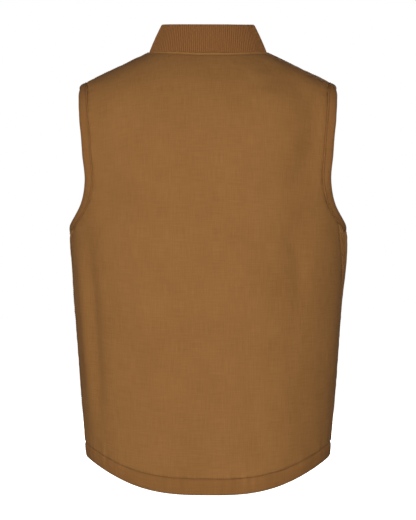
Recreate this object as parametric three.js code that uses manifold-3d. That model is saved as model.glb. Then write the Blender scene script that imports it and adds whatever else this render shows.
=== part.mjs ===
// A sleeveless work vest of thick duck canvas: a back panel, two front panels, a rib-knit stand
// collar, bound armholes, hem bands and a closed front zip.
// Millimetres, +Z up. The wearer faces -Y, so the back is +Y and the wearer's left is +X.
// The origin lies between the two points where the shoulders meet the collar.
import * as THREE from "three";
import { mergeVertices } from "three/addons/utils/BufferGeometryUtils.js";
import Module from "manifold-3d";

const wasm = await Module();
wasm.setup();

// Body sizes
const neckHalfWidth = 96;
const shoulderHalfWidth = 212;
const backDepth = 138;
const frontDepth = 136;
const shoulderDrop = 55.5;
const armholeHeight = 225;
const sideLength = 375;
const tailDrop = 54;
const backNeckDrop = 2;
const frontNeckDrop = 70;

// Walls and the clear space between pieces
const clothWall = 3;
const clearance = 0.3;

// Armholes
const armholeBackReach = 84;
const armholeFrontReach = 80;
const armBandWidth = 17;
const armBandProud = 0.8;

// Hem
const hemBandWidth = 25;
const hemBandProud = 0.6;

// Collar
const collarSideHeight = 46.5;
const collarBackHeight = 45;
const collarFrontHeight = 46;
const collarWall = 4;
const collarSideLean = 21;
const collarBackLean = 7;
const ribPitch = 3.3;
const ribRelief = 0.5;

// Zip
const chainWidth = 6;
const chainDepth = 4;
const tapeWidth = 30;
const tapeThickness = 1.2;
const sliderWidth = 9;
const sliderLength = 13;
const sliderThickness = 3;
const pullWidth = 5;
const pullLength = 34;
const pullThickness = 1.6;

// Side seams, set back from the widest line under the arm, as lengths along the cloth
const seamSetBack = 50;

// The plug that opens an armhole: how far it passes through the cloth, and where its two tips lie
const plugReach = 14;
const plugOuterTip = 1.9;
const plugInnerTip = 0.7;

// How finely the pieces are faceted
const backStep = 5;
const frontStep = 7.5;
const bandTurns = 30;

// A level counts the stations down the body: 0 the neck, 1 the shoulder tip, 2 the armpit,
// 3 the hem at the side, 4 the lowest edge of the tail.
const levelHeights = [
  0,
  -shoulderDrop,
  -shoulderDrop - armholeHeight,
  -shoulderDrop - armholeHeight - sideLength,
  -shoulderDrop - armholeHeight - sideLength - tailDrop,
];

// Half width of the level sections below the shoulder tip, as shares of shoulderHalfWidth
const sideRows = [
  { level: 1.0, share: 1.0 },
  { level: 1.09, share: 1.105 },
  { level: 1.18, share: 1.165 },
  { level: 1.3, share: 1.195 },
  { level: 1.5, share: 1.162 },
  { level: 1.7, share: 1.088 },
  { level: 1.85, share: 1.053 },
  { level: 2.0, share: 1.06 },
  { level: 2.27, share: 1.03 },
  { level: 2.7, share: 0.976 },
  { level: 3.0, share: 0.932 },
  { level: 4.0, share: 0.9 },
];

// The same away from the sides, where the back and the front round over below the shoulder line
const middleRows = [
  { level: 0.0, share: neckHalfWidth / shoulderHalfWidth },
  { level: 0.5, share: (neckHalfWidth / shoulderHalfWidth + 1) / 2 },
  { level: 1.0, share: 0.965 },
  { level: 1.09, share: 1.085 },
  { level: 1.18, share: 1.16 },
  { level: 1.3, share: 1.195 },
  ...sideRows.filter((row) => row.level > 1.4),
];

// Depth of the level sections behind and before the shoulder line, as shares of backDepth and frontDepth
const depthRows = [
  { level: 0.0, back: 0.36, front: 0.44 },
  { level: 0.21, back: 0.45, front: 0.49 },
  { level: 0.53, back: 0.56, front: 0.56 },
  { level: 1.0, back: 0.69, front: 0.66 },
  { level: 1.19, back: 0.826, front: 0.77 },
  { level: 1.41, back: 0.92, front: 0.87 },
  { level: 1.64, back: 0.971, front: 0.94 },
  { level: 2.0, back: 1.0, front: 0.99 },
  { level: 2.32, back: 0.993, front: 1.0 },
  { level: 2.74, back: 0.964, front: 0.985 },
  { level: 3.0, back: 0.945, front: 0.965 },
  { level: 4.0, back: 0.93, front: 0.95 },
];

// Folds and hollows of the back. across and level place the middle, with +1 across at the wearer's left edge.
// breadth is a share of shoulderHalfWidth, length of sideLength, depth of backDepth, outward where positive.
// lean is how far the fold moves across, as a share of shoulderHalfWidth, over a level.
const backFolds = [
  { across: 0.92, level: 2.45, breadth: 0.04, length: 0.36, lean: -0.02, depth: 0.028 }, // left long fold
  { across: 0.85, level: 2.45, breadth: 0.045, length: 0.36, lean: -0.02, depth: -0.03 }, // left long hollow
  { across: 0.7, level: 1.55, breadth: 0.14, length: 0.28, lean: 0, depth: -0.035 }, // left hollow
  { across: -0.7, level: 1.35, breadth: 0.15, length: 0.22, lean: 0, depth: -0.035 }, // right upper hollow
  { across: -0.66, level: 1.9, breadth: 0.15, length: 0.58, lean: 0, depth: -0.035 }, // right long hollow
  { across: -0.65, level: 2.15, breadth: 0.08, length: 0.14, lean: -0.4, depth: -0.023 }, // right hollow
  { across: 0.05, level: 3.3, breadth: 0.3, length: 0.15, lean: 0.1, depth: -0.035 }, // tail hollow
  { across: 0.62, level: 1.2, breadth: 0.09, length: 0.1, lean: -0.2, depth: 0.02 }, // blade puff
  { across: -0.45, level: 0.98, breadth: 0.12, length: 0.03, lean: 0.4, depth: -0.012 }, // neck crease
];

const roundness = 2.3;
const seamEndLeft = 2.14;
const seamEndRight = 2.38;

const rad = THREE.MathUtils.degToRad;

function levelOf(z) {
  let i = 0;
  while (i < levelHeights.length - 2 && z < levelHeights[i + 1]) i += 1;
  return i + (z - levelHeights[i]) / (levelHeights[i + 1] - levelHeights[i]);
}

function heightOf(level) {
  const i = Math.min(Math.floor(level), levelHeights.length - 2);
  return THREE.MathUtils.lerp(levelHeights[i], levelHeights[i + 1], level - i);
}

// Smooth curve down through one column of a table: cubic between rows, its slope at a row taken from the
// neighbours
function smooth(rows, column, z) {
  const last = rows.length - 1;
  const drops = rows.map((row) => -heightOf(row.level));
  const at = THREE.MathUtils.clamp(-z, drops[0], drops[last]);
  let i = 0;
  while (i < last - 1 && at > drops[i + 1]) i += 1;
  const slope = (k) => {
    const before = Math.max(k - 1, 0);
    const after = Math.min(k + 1, last);
    return (rows[after][column] - rows[before][column]) / (drops[after] - drops[before]);
  };
  const span = drops[i + 1] - drops[i];
  const t = (at - drops[i]) / span;
  const start = rows[i][column];
  const end = rows[i + 1][column];
  const rise = end - start;
  const bendStart = slope(i) * span - rise;
  const bendEnd = rise - slope(i + 1) * span;
  return start + rise * t + t * (1 - t) * (bendStart * (1 - t) + bendEnd * t);
}

function halfWidth(z) {
  const level = levelOf(z);
  if (level < 1) return THREE.MathUtils.lerp(neckHalfWidth, shoulderHalfWidth, level);
  return shoulderHalfWidth * smooth(sideRows, "share", z);
}

// The half width that shapes the form at a share of the way across, so that the corner at the shoulder tip
// fades towards the middle
function shapingWidth(z, across) {
  const middle = shoulderHalfWidth * smooth(middleRows, "share", z);
  return THREE.MathUtils.lerp(middle, halfWidth(z), Math.abs(across) ** 6);
}

function depth(z, side) {
  if (side === "back") return backDepth * smooth(depthRows, "back", z);
  return frontDepth * smooth(depthRows, "front", z);
}

// Height of the folds over the plain form at a place on the back
function foldHeight(x, z) {
  const width = halfWidth(z);
  const level = levelOf(z);
  let height = 0;
  for (const fold of backFolds) {
    const middle = fold.across * width + fold.lean * shoulderHalfWidth * (level - fold.level);
    const across = (x - middle) / (fold.breadth * shoulderHalfWidth);
    const along = (z - heightOf(fold.level)) / (fold.length * sideLength);
    height += fold.depth * backDepth * Math.exp(-across * across - along ** 4);
  }
  return height;
}

// Where the column of a given angle runs: under the arms the columns bend back with the side seams
function columnAngle(angle, z) {
  const level = levelOf(z);
  const setBack = Math.asin(seamSetBack / backDepth);
  const rise = THREE.MathUtils.smoothstep(level, 1.4, 1.9);
  const left = rise * (1 - THREE.MathUtils.smoothstep(level, 1.95, seamEndLeft));
  const right = rise * (1 - THREE.MathUtils.smoothstep(level, 1.95, seamEndRight));
  const nearLeft = Math.max(0, Math.cos(angle)) ** 2;
  const nearRight = Math.max(0, -Math.cos(angle)) ** 2;
  return angle + setBack * (left * nearLeft - right * nearRight);
}

// A point of the rounded outline that all sections share, from -1 to 1 both ways
function roundOutline(angle) {
  const c = Math.cos(angle);
  const s = Math.sin(angle);
  const size = (Math.abs(c) ** roundness + Math.abs(s) ** roundness) ** (1 / roundness);
  return new THREE.Vector2(c / size, s / size);
}

// A point of the plain level section: angle 0 is the wearer's left, a quarter turn the back
function sectionPoint(angle, z) {
  const share = roundOutline(angle);
  const reach = share.y > 0 ? depth(z, "back") : depth(z, "front");
  return new THREE.Vector3(shapingWidth(z, share.x) * share.x, reach * share.y, z);
}

// Height of a row at a column. Rows are level in the middle of the body, and bend to the neckline and tail.
function rowHeight(angle, level) {
  const s = Math.sin(angle);
  const neck = s > 0 ? backNeckDrop * s ** 3 : frontNeckDrop * Math.abs(s) ** 7;
  const across = Math.abs(roundOutline(angle).x);
  const tail = s > 0 ? tailDrop * Math.max(0, 1 - across ** 2.9) ** 1.15 : 0;
  const nearNeck = Math.max(0, 1 - heightOf(level) / heightOf(1.5));
  const nearHem = THREE.MathUtils.smoothstep(level, 2.5, 3);
  return heightOf(level) - neck * nearNeck - tail * nearHem;
}

function plainPoint(column, level) {
  const z = rowHeight(column, level);
  return sectionPoint(columnAngle(column, z), z);
}

// The outward direction at a place, from two short steps on the plain form
function outward(column, level) {
  const step = 0.01;
  const across = plainPoint(column + step, level).sub(plainPoint(column - step, level));
  const above = plainPoint(column, Math.max(level - step, 0));
  const down = plainPoint(column, Math.min(level + step, 3)).sub(above);
  return down.cross(across).normalize();
}

// A point of the cloth, lifted off its outer face by a distance
function clothPoint(column, level, lift) {
  const point = plainPoint(column, level);
  const fold = point.y > 0 ? foldHeight(point.x, point.z) * Math.min(1, point.y / (0.4 * backDepth)) : 0;
  return point.addScaledVector(outward(column, level), fold + lift);
}

// A closed wall between an outer and an inner face, each a grid of points
function wallGeometry(columns, rows, outer, inner) {
  const positions = [];
  const pushQuad = (a, b, c, d) => {
    for (const p of [a, b, c, a, c, d]) positions.push(p.x, p.y, p.z);
  };
  const grid = (pointAt) => columns.map((u) => rows.map((v) => pointAt(u, v)));
  const out = grid(outer);
  const back = grid(inner);
  const lastColumn = columns.length - 1;
  const lastRow = rows.length - 1;
  for (let i = 0; i < lastColumn; i += 1) {
    for (let j = 0; j < lastRow; j += 1) {
      pushQuad(out[i][j], out[i][j + 1], out[i + 1][j + 1], out[i + 1][j]);
      pushQuad(back[i][j], back[i + 1][j], back[i + 1][j + 1], back[i][j + 1]);
    }
    pushQuad(back[i][0], out[i][0], out[i + 1][0], back[i + 1][0]);
    pushQuad(out[i][lastRow], back[i][lastRow], back[i + 1][lastRow], out[i + 1][lastRow]);
  }
  for (let j = 0; j < lastRow; j += 1) {
    pushQuad(out[0][j], back[0][j], back[0][j + 1], out[0][j + 1]);
    pushQuad(back[lastColumn][j], out[lastColumn][j], out[lastColumn][j + 1], back[lastColumn][j + 1]);
  }
  return new THREE.BufferGeometry().setAttribute("position", new THREE.Float32BufferAttribute(positions, 3));
}

function solidOf(geometry) {
  const bare = geometry.clone();
  bare.deleteAttribute("normal");
  bare.deleteAttribute("uv");
  const merged = mergeVertices(bare, 1e-4);
  const mesh = new wasm.Mesh({
    numProp: 3,
    vertProperties: new Float32Array(merged.attributes.position.array),
    triVerts: new Uint32Array(merged.index.array),
  });
  return new wasm.Manifold(mesh);
}

function geometryOf(solid) {
  const mesh = solid.getMesh();
  const geometry = new THREE.BufferGeometry();
  geometry.setAttribute("position", new THREE.BufferAttribute(mesh.vertProperties, 3));
  geometry.setIndex(new THREE.BufferAttribute(mesh.triVerts, 1));
  geometry.computeVertexNormals();
  return geometry;
}

// Even steps from one value to another, about one step apart, both ends included
function steps(from, to, step) {
  const count = Math.max(1, Math.round(Math.abs(to - from) / step));
  return Array.from({ length: count + 1 }, (_, i) => THREE.MathUtils.lerp(from, to, i / count));
}

// Columns between two seams. A seam's end column is moved in by half the clearance, measured along the cloth.
function seamedPoint(from, to, halfGapFrom, halfGapTo) {
  return (column, level, lift) => {
    const z = rowHeight(column, level);
    const atSide = (angle) => (Math.abs(Math.cos(angle)) > 0.5 ? depth(z, "back") : halfWidth(z));
    let angle = column;
    if (column === from) angle += halfGapFrom / atSide(from);
    if (column === to) angle -= halfGapTo / atSide(to);
    return clothPoint(angle, level, lift);
  };
}

// Rows of a panel, from the neckline down to the hem band
const hemBandLevel = 3 - hemBandWidth / sideLength;
const bodyRows = [
  ...steps(clearance / shoulderDrop, 1, 0.33),
  1.06,
  1.13,
  ...steps(1.22, 1.86, 0.13),
  1.94,
  ...steps(2.02, hemBandLevel - clearance / sideLength, 0.13),
];

// The back has the finer columns, for its folds
const columnsOf = (from, to) => steps(from, to, rad(from === 0 ? backStep : frontStep));

function panelGeometry(from, to, halfGapFrom, halfGapTo) {
  const columns = columnsOf(from, to);
  const point = seamedPoint(columns[0], columns.at(-1), halfGapFrom, halfGapTo);
  return wallGeometry(
    columns,
    bodyRows,
    (u, v) => point(u, v, 0),
    (u, v) => point(u, v, -clothWall),
  );
}

// The armhole's edge seen from the side, as a closed ring of (y, z) pairs at even turns
const armholeMiddle = -shoulderDrop - armholeHeight / 2;

function armholeEdge(turn) {
  const share = roundOutline(turn);
  const reach = share.x > 0 ? armholeBackReach : armholeFrontReach;
  return new THREE.Vector2(reach * share.x, armholeMiddle + (armholeHeight / 2) * share.y);
}

// The place on the plain form that lies over a (y, z) pair on the wearer's left
function sidePoint(y, z) {
  const reach = y > 0 ? depth(z, "back") : depth(z, "front");
  const share = Math.min(0.99, Math.abs(y) / reach);
  const across = (1 - share ** roundness) ** (1 / roundness);
  return new THREE.Vector3(shapingWidth(z, across) * across, y, z);
}

function sideNormal(y, z) {
  const step = 0.5;
  const inY = sidePoint(y + step, z).sub(sidePoint(y - step, z));
  const inZ = sidePoint(y, z + step).sub(sidePoint(y, z - step));
  return inY.cross(inZ).normalize();
}

// A place near the wearer's left side brought square onto the plain form, in three short steps
function ontoForm(place) {
  const point = place.clone();
  for (let step = 0; step < 3; step += 1) {
    const normal = sideNormal(point.y, point.z);
    const off = point.x - sidePoint(point.y, point.z).x;
    point.addScaledVector(normal, -off * normal.x);
  }
  return point;
}

// The armhole's edge moved outwards along the cloth by a distance, as places and their outward directions
function armholeRing(distance) {
  const ring = [];
  const turnStep = (2 * Math.PI) / bandTurns;
  for (let i = 0; i < bandTurns; i += 1) {
    const edge = armholeEdge(i * turnStep);
    const before = armholeEdge((i - 0.1) * turnStep);
    const after = armholeEdge((i + 0.1) * turnStep);
    const along = sidePoint(after.x, after.y).sub(sidePoint(before.x, before.y)).normalize();
    const away = along.cross(sideNormal(edge.x, edge.y)).normalize();
    const point = ontoForm(sidePoint(edge.x, edge.y).addScaledVector(away, distance));
    ring.push({ point, normal: sideNormal(point.y, point.z) });
  }
  return ring;
}

// A closed plug through the armhole. Its sides stand square to the cloth along the ring, and it comes to
// a point beyond the arm and inside the body.
function armholeSolid(side, distance) {
  const ring = armholeRing(distance);
  const over = ring.map(({ point, normal }) => point.clone().addScaledVector(normal, plugReach));
  const under = ring.map(({ point, normal }) => point.clone().addScaledVector(normal, -plugReach));
  const outerTip = new THREE.Vector3(plugOuterTip * shoulderHalfWidth, 0, armholeMiddle);
  const innerTip = new THREE.Vector3(plugInnerTip * shoulderHalfWidth, 0, armholeMiddle);
  const positions = [];
  const push = (...points) => {
    if (side < 0) points.reverse();
    for (const p of points) positions.push(side * p.x, p.y, p.z);
  };
  ring.forEach((_, i) => {
    const next = (i + 1) % ring.length;
    push(outerTip, over[i], over[next]);
    push(over[i], under[i], under[next]);
    push(over[i], under[next], over[next]);
    push(innerTip, under[next], under[i]);
  });
  const attribute = new THREE.Float32BufferAttribute(positions, 3);
  return solidOf(new THREE.BufferGeometry().setAttribute("position", attribute));
}

function cutByArmholes(geometry, sides) {
  let solid = solidOf(geometry);
  for (const side of sides) solid = solid.subtract(armholeSolid(side, armBandWidth + clearance));
  return geometryOf(solid);
}

// The front panels stop short of the zip's chain
const zipHalfGap = chainWidth / 2 + clearance;
const seamHalfGap = clearance / 2;

function backPanel() {
  return cutByArmholes(panelGeometry(0, Math.PI, seamHalfGap, seamHalfGap), [1, -1]);
}

function frontPanel(side) {
  const half = Math.PI / 2;
  if (side > 0) return cutByArmholes(panelGeometry(-half, 0, zipHalfGap, seamHalfGap), [side]);
  return cutByArmholes(panelGeometry(Math.PI, Math.PI + half, seamHalfGap, zipHalfGap), [side]);
}

// Armhole band: a closed loop of doubled cloth, a little proud of the panels
function armholeBand(side) {
  const middle = side > 0 ? 0 : Math.PI;
  const around = [...columnsOf(-Math.PI / 2, 0), ...columnsOf(0, Math.PI).slice(1)];
  const mirrored = around.map((angle) => Math.PI - angle).reverse();
  const columns = (side > 0 ? around : mirrored).filter((angle) => Math.abs(angle - middle) < rad(62));
  const rows = bodyRows.filter((level) => level > 0.4 && level < 2.2);
  const patch = wallGeometry(
    columns,
    rows,
    (u, v) => clothPoint(u, v, armBandProud),
    (u, v) => clothPoint(u, v, -clothWall),
  );
  const ring = armholeSolid(side, armBandWidth).subtract(armholeSolid(side, 0));
  return geometryOf(solidOf(patch).intersect(ring));
}

// Hem band: the doubled strip along the lower edge
function hemBand(from, to, halfGapFrom, halfGapTo) {
  const columns = columnsOf(from, to);
  const point = seamedPoint(columns[0], columns.at(-1), halfGapFrom, halfGapTo);
  return wallGeometry(
    columns,
    [hemBandLevel, 3],
    (u, v) => point(u, v, hemBandProud),
    (u, v) => point(u, v, -clothWall),
  );
}

// Collar

// The neckline along the top edge of the panels, straight between their columns
function neckline(column) {
  const step = rad(Math.sin(column) > 0 ? backStep : frontStep);
  const before = Math.floor(column / step) * step;
  return clothPoint(before, 0, 0).lerp(clothPoint(before + step, 0, 0), (column - before) / step);
}

// The direction of the neckline, taken over a few columns so that the collar bends smoothly
function necklineDirection(column) {
  const reach = rad(frontStep);
  return neckline(column + reach).sub(neckline(column - reach)).normalize();
}

// The collar's rise from the neckline to its top edge: up, and inwards at the sides and the back
function collarRise(column) {
  const along = necklineDirection(column);
  const inwards = new THREE.Vector3(-along.y, along.x, 0).normalize();
  const s = Math.sin(column);
  const sideLean = collarSideLean * (1 - s * s);
  const backLean = s > 0 ? collarBackLean * s * s : 0;
  const middleHeight = s > 0 ? collarBackHeight : collarFrontHeight;
  return inwards
    .multiplyScalar(sideLean + backLean)
    .setZ(THREE.MathUtils.lerp(collarSideHeight, middleHeight, s * s));
}

function collarPoint(column, share, lift) {
  const rise = collarRise(column);
  const normal = necklineDirection(column).cross(rise).normalize();
  const base = neckline(column).setZ(neckline(column).z + clearance);
  return base.addScaledVector(rise, share).addScaledVector(normal, lift);
}

// Angles at even distances along the neckline
function evenNecklineAngles(from, to, step) {
  const samples = steps(from, to, rad(0.5));
  const lengths = [0];
  for (let i = 1; i < samples.length; i += 1) {
    lengths.push(lengths[i - 1] + neckline(samples[i]).distanceTo(neckline(samples[i - 1])));
  }
  const total = lengths.at(-1);
  let k = 0;
  return steps(0, total, step).map((length) => {
    while (k < samples.length - 2 && lengths[k + 1] < length) k += 1;
    const share = (length - lengths[k]) / (lengths[k + 1] - lengths[k]);
    return THREE.MathUtils.lerp(samples[k], samples[k + 1], share);
  });
}

function collarGeometry() {
  const half = Math.PI / 2;
  const edge = zipHalfGap / neckline(-half).setX(0).length();
  const angles = evenNecklineAngles(-half + edge, 3 * half - edge, ribPitch / 2);
  const relief = (u) => (angles.indexOf(u) % 2 ? 0 : -ribRelief);
  return wallGeometry(
    angles,
    [1, 0],
    (u, v) => collarPoint(u, v, relief(u)),
    (u, v) => collarPoint(u, v, -collarWall - relief(u)),
  );
}

// Zip

// The zip's line, up the closed front and on up the front of the collar. At each station the bow is
// how far the cloth has fallen back at the edge of the tape.
function zipStations() {
  const front = -Math.PI / 2;
  const station = (pointAt, out) => {
    const point = pointAt(front);
    const edge = pointAt(front + tapeWidth / 2 / halfWidth(point.z));
    return { point, out, bow: edge.sub(point).dot(out) };
  };
  const body = [...bodyRows, hemBandLevel, 3].reverse().map((level) =>
    station((column) => clothPoint(column, level, 0), outward(front, level)),
  );
  const forward = new THREE.Vector3(0, -1, 0);
  const collar = [0, 1].map((share) => station((column) => collarPoint(column, share, 0), forward));
  return [...body, ...collar];
}

function zipGeometry() {
  const behind = -collarWall - clearance - ribRelief;
  const face = behind + chainDepth;
  const halfTape = tapeWidth / 2;
  const halfChain = chainWidth / 2;
  const profile = [
    [-halfTape, behind - tapeThickness],
    [halfTape, behind - tapeThickness],
    [halfTape, behind],
    [halfChain, behind],
    [halfChain, face],
    [-halfChain, face],
    [-halfChain, behind],
    [-halfTape, behind],
  ];
  const rings = zipStations().map(({ point, out, bow }) =>
    profile.map(([x, lift]) => {
      const fallBack = Math.abs(x) === halfTape ? Math.min(0, bow) : 0;
      return point.clone().addScaledVector(out, lift + fallBack).setX(x);
    }),
  );
  const caps = THREE.ShapeUtils.triangulateShape(
    profile.map(([x, lift]) => new THREE.Vector2(x, lift)),
    [],
  );
  const positions = [];
  const push = (...points) => points.forEach((p) => positions.push(p.x, p.y, p.z));
  for (let k = 0; k < rings.length - 1; k += 1) {
    profile.forEach((_, i) => {
      const next = (i + 1) % profile.length;
      push(rings[k][i], rings[k + 1][next], rings[k][next]);
      push(rings[k][i], rings[k + 1][i], rings[k + 1][next]);
    });
  }
  for (const [a, b, c] of caps) {
    push(rings[0][a], rings[0][b], rings[0][c]);
    push(rings.at(-1)[a], rings.at(-1)[c], rings.at(-1)[b]);
  }
  return new THREE.BufferGeometry().setAttribute("position", new THREE.Float32BufferAttribute(positions, 3));
}

// The slider and its hanging pull, at the top of the closed zip
function sliderGeometry() {
  const { point } = zipStations().at(-1);
  const face = point.y - ribRelief - clearance;
  const top = point.z - sliderLength;
  const box = (width, deep, high, y, z) => new THREE.BoxGeometry(width, deep, high).translate(0, y, z);
  const body = box(sliderWidth, sliderThickness, sliderLength, face - sliderThickness / 2, top);
  const neckDeep = 3 + clearance + ribRelief;
  const neck = box(chainWidth - 2, neckDeep, sliderLength - 2, face + neckDeep / 2 - 0.5, top);
  const pullTop = top + sliderLength / 4;
  const pullY = face - sliderThickness - pullThickness / 2 + 0.4;
  const pull = box(pullWidth, pullThickness, pullLength, pullY, pullTop - pullLength / 2);
  return [body, neck, pull];
}

function frontZip() {
  let solid = solidOf(zipGeometry());
  for (const piece of sliderGeometry()) solid = solid.add(solidOf(piece));
  return geometryOf(solid);
}

// Materials
const duck = () => new THREE.MeshStandardMaterial({ color: "#8f6639", roughness: 0.92, metalness: 0 });
const duckBand = () => new THREE.MeshStandardMaterial({ color: "#84592f", roughness: 0.92, metalness: 0 });
const ribKnit = () => new THREE.MeshStandardMaterial({ color: "#7c5431", roughness: 0.97, metalness: 0 });
const brass = () => new THREE.MeshStandardMaterial({ color: "#a9844a", roughness: 0.45, metalness: 0.8 });

const vest = new THREE.Group();

function add(name, geometry, material) {
  const mesh = new THREE.Mesh(geometry, material);
  mesh.name = name;
  vest.add(mesh);
}

const quarter = Math.PI / 2;
add("back_panel", backPanel(), duck());
add("front_panel_left", frontPanel(1), duck());
add("front_panel_right", frontPanel(-1), duck());
add("rib_collar", collarGeometry(), ribKnit());
add("armhole_band_left", armholeBand(1), duckBand());
add("armhole_band_right", armholeBand(-1), duckBand());
add("back_hem_band", hemBand(0, Math.PI, seamHalfGap, seamHalfGap), duckBand());
add("front_hem_band_left", hemBand(-quarter, 0, zipHalfGap, seamHalfGap), duckBand());
add("front_hem_band_right", hemBand(Math.PI, Math.PI + quarter, seamHalfGap, zipHalfGap), duckBand());
add("front_zip", frontZip(), brass());

export default vest;
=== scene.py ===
import math

import bmesh
import bpy
import numpy as np
from mathutils import Matrix, Vector, kdtree, noise


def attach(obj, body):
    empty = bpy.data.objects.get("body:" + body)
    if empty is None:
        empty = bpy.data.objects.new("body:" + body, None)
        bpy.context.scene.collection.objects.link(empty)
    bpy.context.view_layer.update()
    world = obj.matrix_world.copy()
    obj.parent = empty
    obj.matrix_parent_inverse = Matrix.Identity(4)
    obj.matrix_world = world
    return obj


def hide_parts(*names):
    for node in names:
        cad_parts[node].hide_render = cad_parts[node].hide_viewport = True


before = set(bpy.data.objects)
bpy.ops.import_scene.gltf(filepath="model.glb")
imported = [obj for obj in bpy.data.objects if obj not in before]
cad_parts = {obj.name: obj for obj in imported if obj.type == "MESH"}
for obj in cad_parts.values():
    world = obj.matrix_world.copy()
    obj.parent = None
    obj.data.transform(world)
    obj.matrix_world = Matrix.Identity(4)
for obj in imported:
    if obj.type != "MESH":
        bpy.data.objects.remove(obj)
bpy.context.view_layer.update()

# Body sizes
NECK_HALF_WIDTH = 0.096
SHOULDER_HALF_WIDTH = 0.212
BACK_DEPTH = 0.138
FRONT_DEPTH = 0.136
SHOULDER_DROP = 0.0555
ARMHOLE_HEIGHT = 0.225
SIDE_LENGTH = 0.375
TAIL_DROP = 0.054
BACK_NECK_DROP = 0.002
FRONT_NECK_DROP = 0.070
CLOTH_WALL = 0.003
SEAM_SET_BACK = 0.050
ROUNDNESS = 2.3

# Levels count the stations down the body: 0 neck, 1 shoulder tip, 2 armpit, 3 hem at the side, 4 tail
LEVEL_HEIGHTS = -np.cumsum([0, SHOULDER_DROP, ARMHOLE_HEIGHT, SIDE_LENGTH, TAIL_DROP])
SEAM_END_LEFT = 2.14
SEAM_END_RIGHT = 2.38

# Half width of the level sections below the shoulder tip, as shares of SHOULDER_HALF_WIDTH: level, share
SIDE_ROWS = (
    (1.0, 1.0), (1.09, 1.105), (1.18, 1.165), (1.3, 1.195), (1.5, 1.162), (1.7, 1.088), (1.85, 1.053),
    (2.0, 1.06), (2.27, 1.03), (2.7, 0.976), (3.0, 0.932), (4.0, 0.9),
)

# The same away from the sides, where the back and the front round over below the shoulder line
MIDDLE_ROWS = (
    (0.0, NECK_HALF_WIDTH / SHOULDER_HALF_WIDTH), (0.5, (NECK_HALF_WIDTH / SHOULDER_HALF_WIDTH + 1) / 2),
    (1.0, 0.965), (1.09, 1.085), (1.18, 1.16), (1.3, 1.195),
) + SIDE_ROWS[4:]

# Depth of the level sections, as shares of BACK_DEPTH and FRONT_DEPTH: level, back, front
DEPTH_ROWS = (
    (0.0, 0.36, 0.44), (0.21, 0.45, 0.49), (0.53, 0.56, 0.56), (1.0, 0.69, 0.66), (1.19, 0.826, 0.77),
    (1.41, 0.92, 0.87), (1.64, 0.971, 0.94), (2.0, 1.0, 0.99), (2.32, 0.993, 1.0), (2.74, 0.964, 0.985),
    (3.0, 0.945, 0.965), (4.0, 0.93, 0.95),
)

# Folds and hollows of the back: across as a share of the half width, level, breadth as a share of
# SHOULDER_HALF_WIDTH, length of SIDE_LENGTH, lean across per level, depth of BACK_DEPTH
BACK_FOLDS = (
    (0.92, 2.45, 0.04, 0.36, -0.02, 0.028),   # left long fold
    (0.85, 2.45, 0.045, 0.36, -0.02, -0.03),  # left long hollow
    (0.7, 1.55, 0.14, 0.28, 0, -0.035),       # left hollow
    (-0.7, 1.35, 0.15, 0.22, 0, -0.035),      # right upper hollow
    (-0.66, 1.9, 0.15, 0.58, 0, -0.035),      # right long hollow
    (-0.65, 2.15, 0.08, 0.14, -0.4, -0.023),  # right hollow
    (0.05, 3.3, 0.3, 0.15, 0.1, -0.035),      # tail hollow
    (0.62, 1.2, 0.09, 0.1, -0.2, 0.02),       # blade puff
    (-0.45, 0.98, 0.12, 0.03, 0.4, -0.012),   # neck crease
)

# Small creases beside the left armhole: x and level where each starts and ends, half breadth, height
BACK_CREASES = (
    (0.140, 1.21, 0.123, 1.37, 0.0045, 0.0018),
    (0.123, 1.37, 0.121, 1.55, 0.0050, 0.0010),
)

# Armholes
ARMHOLE_BACK_REACH = 0.084
ARMHOLE_FRONT_REACH = 0.080
ARMHOLE_MIDDLE = -SHOULDER_DROP - ARMHOLE_HEIGHT / 2
BINDING_WIDTH = 0.017
BINDING_OVERLAP = 0.0045
BINDING_STITCH_LINE = 0.0147
BINDING_TURNS = 320
EDGE_PLACES = 720

# Hem
HEM_WIDTH = 0.0235
HEM_LEVEL = 3 - HEM_WIDTH / SIDE_LENGTH
HEM_RADIUS = 0.2

# Collar
COLLAR_SIDE_HEIGHT = 0.0465
COLLAR_BACK_HEIGHT = 0.045
COLLAR_FRONT_HEIGHT = 0.046
COLLAR_WALL = 0.004
COLLAR_SIDE_LEAN = 0.021
COLLAR_BACK_LEAN = 0.007
RIB_PITCH = 0.0033
RIB_RELIEF = 0.0009
RIB_FACETS = 6

# Zip
TAPE_WIDTH = 0.030
TAPE_DEPTH = 0.0049
TAPE_THICKNESS = 0.0011
TOOTH_PITCH = 0.0025
TOOTH_SIZE = (TOOTH_PITCH * 0.42, 0.0036, 0.0034)
TOOTH_SINK = 0.0028
TOOTH_SIDE_STEP = 0.0009
ZIP_HALF_GAP = 0.0033
ZIP_GAP_TURN = ZIP_HALF_GAP / SHOULDER_HALF_WIDTH
ZIP_PLACES = 260
ZIP_COLLAR_PLACES = 24
PULL_SIZE = (0.0052, 0.0016, 0.034)

# Seams and their stitches
NECK_RIDGE_WIDTH = 0.0057
NECK_STITCH_LINE = NECK_RIDGE_WIDTH + 0.0008
SIDE_RIDGE_WIDTH = 0.009
SIDE_STITCH_LINES = (0.002, 0.0078)
HEM_STITCH_LINE = 0.0012
STITCH_PITCH = 0.0034
STITCH_LENGTH = 0.0026
STITCH_WIDTH = 0.0009
STITCH_LIFT = 0.0002
BINDING_STITCH_LIFT = 0.0007
WELT_STITCH_LIFT = 0.0023

# Levels of the two stretches of side stitches: below the armpit, and over the shoulder
SIDE_STITCH_START = 2.03
SHOULDER_STITCH_END = 0.78

# Unevenness of the hanging cloth: height, size across, size down
DRAPE_ROWS = (
    (0.0016, 0.055, 0.19),
    (0.0007, 0.024, 0.06),
    (0.00025, 0.008, 0.011),
)

# Wear and painted shade go from 0, dark, painted shade in ditches, slits, hollows and between ribs, to 1,
# pale, scuffed ridges and painted highlight on crests; inner faces sit a little darker
PLAIN_WEAR_AND_SHADE = 0.5
INSIDE_WEAR_AND_SHADE = 0.42

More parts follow.
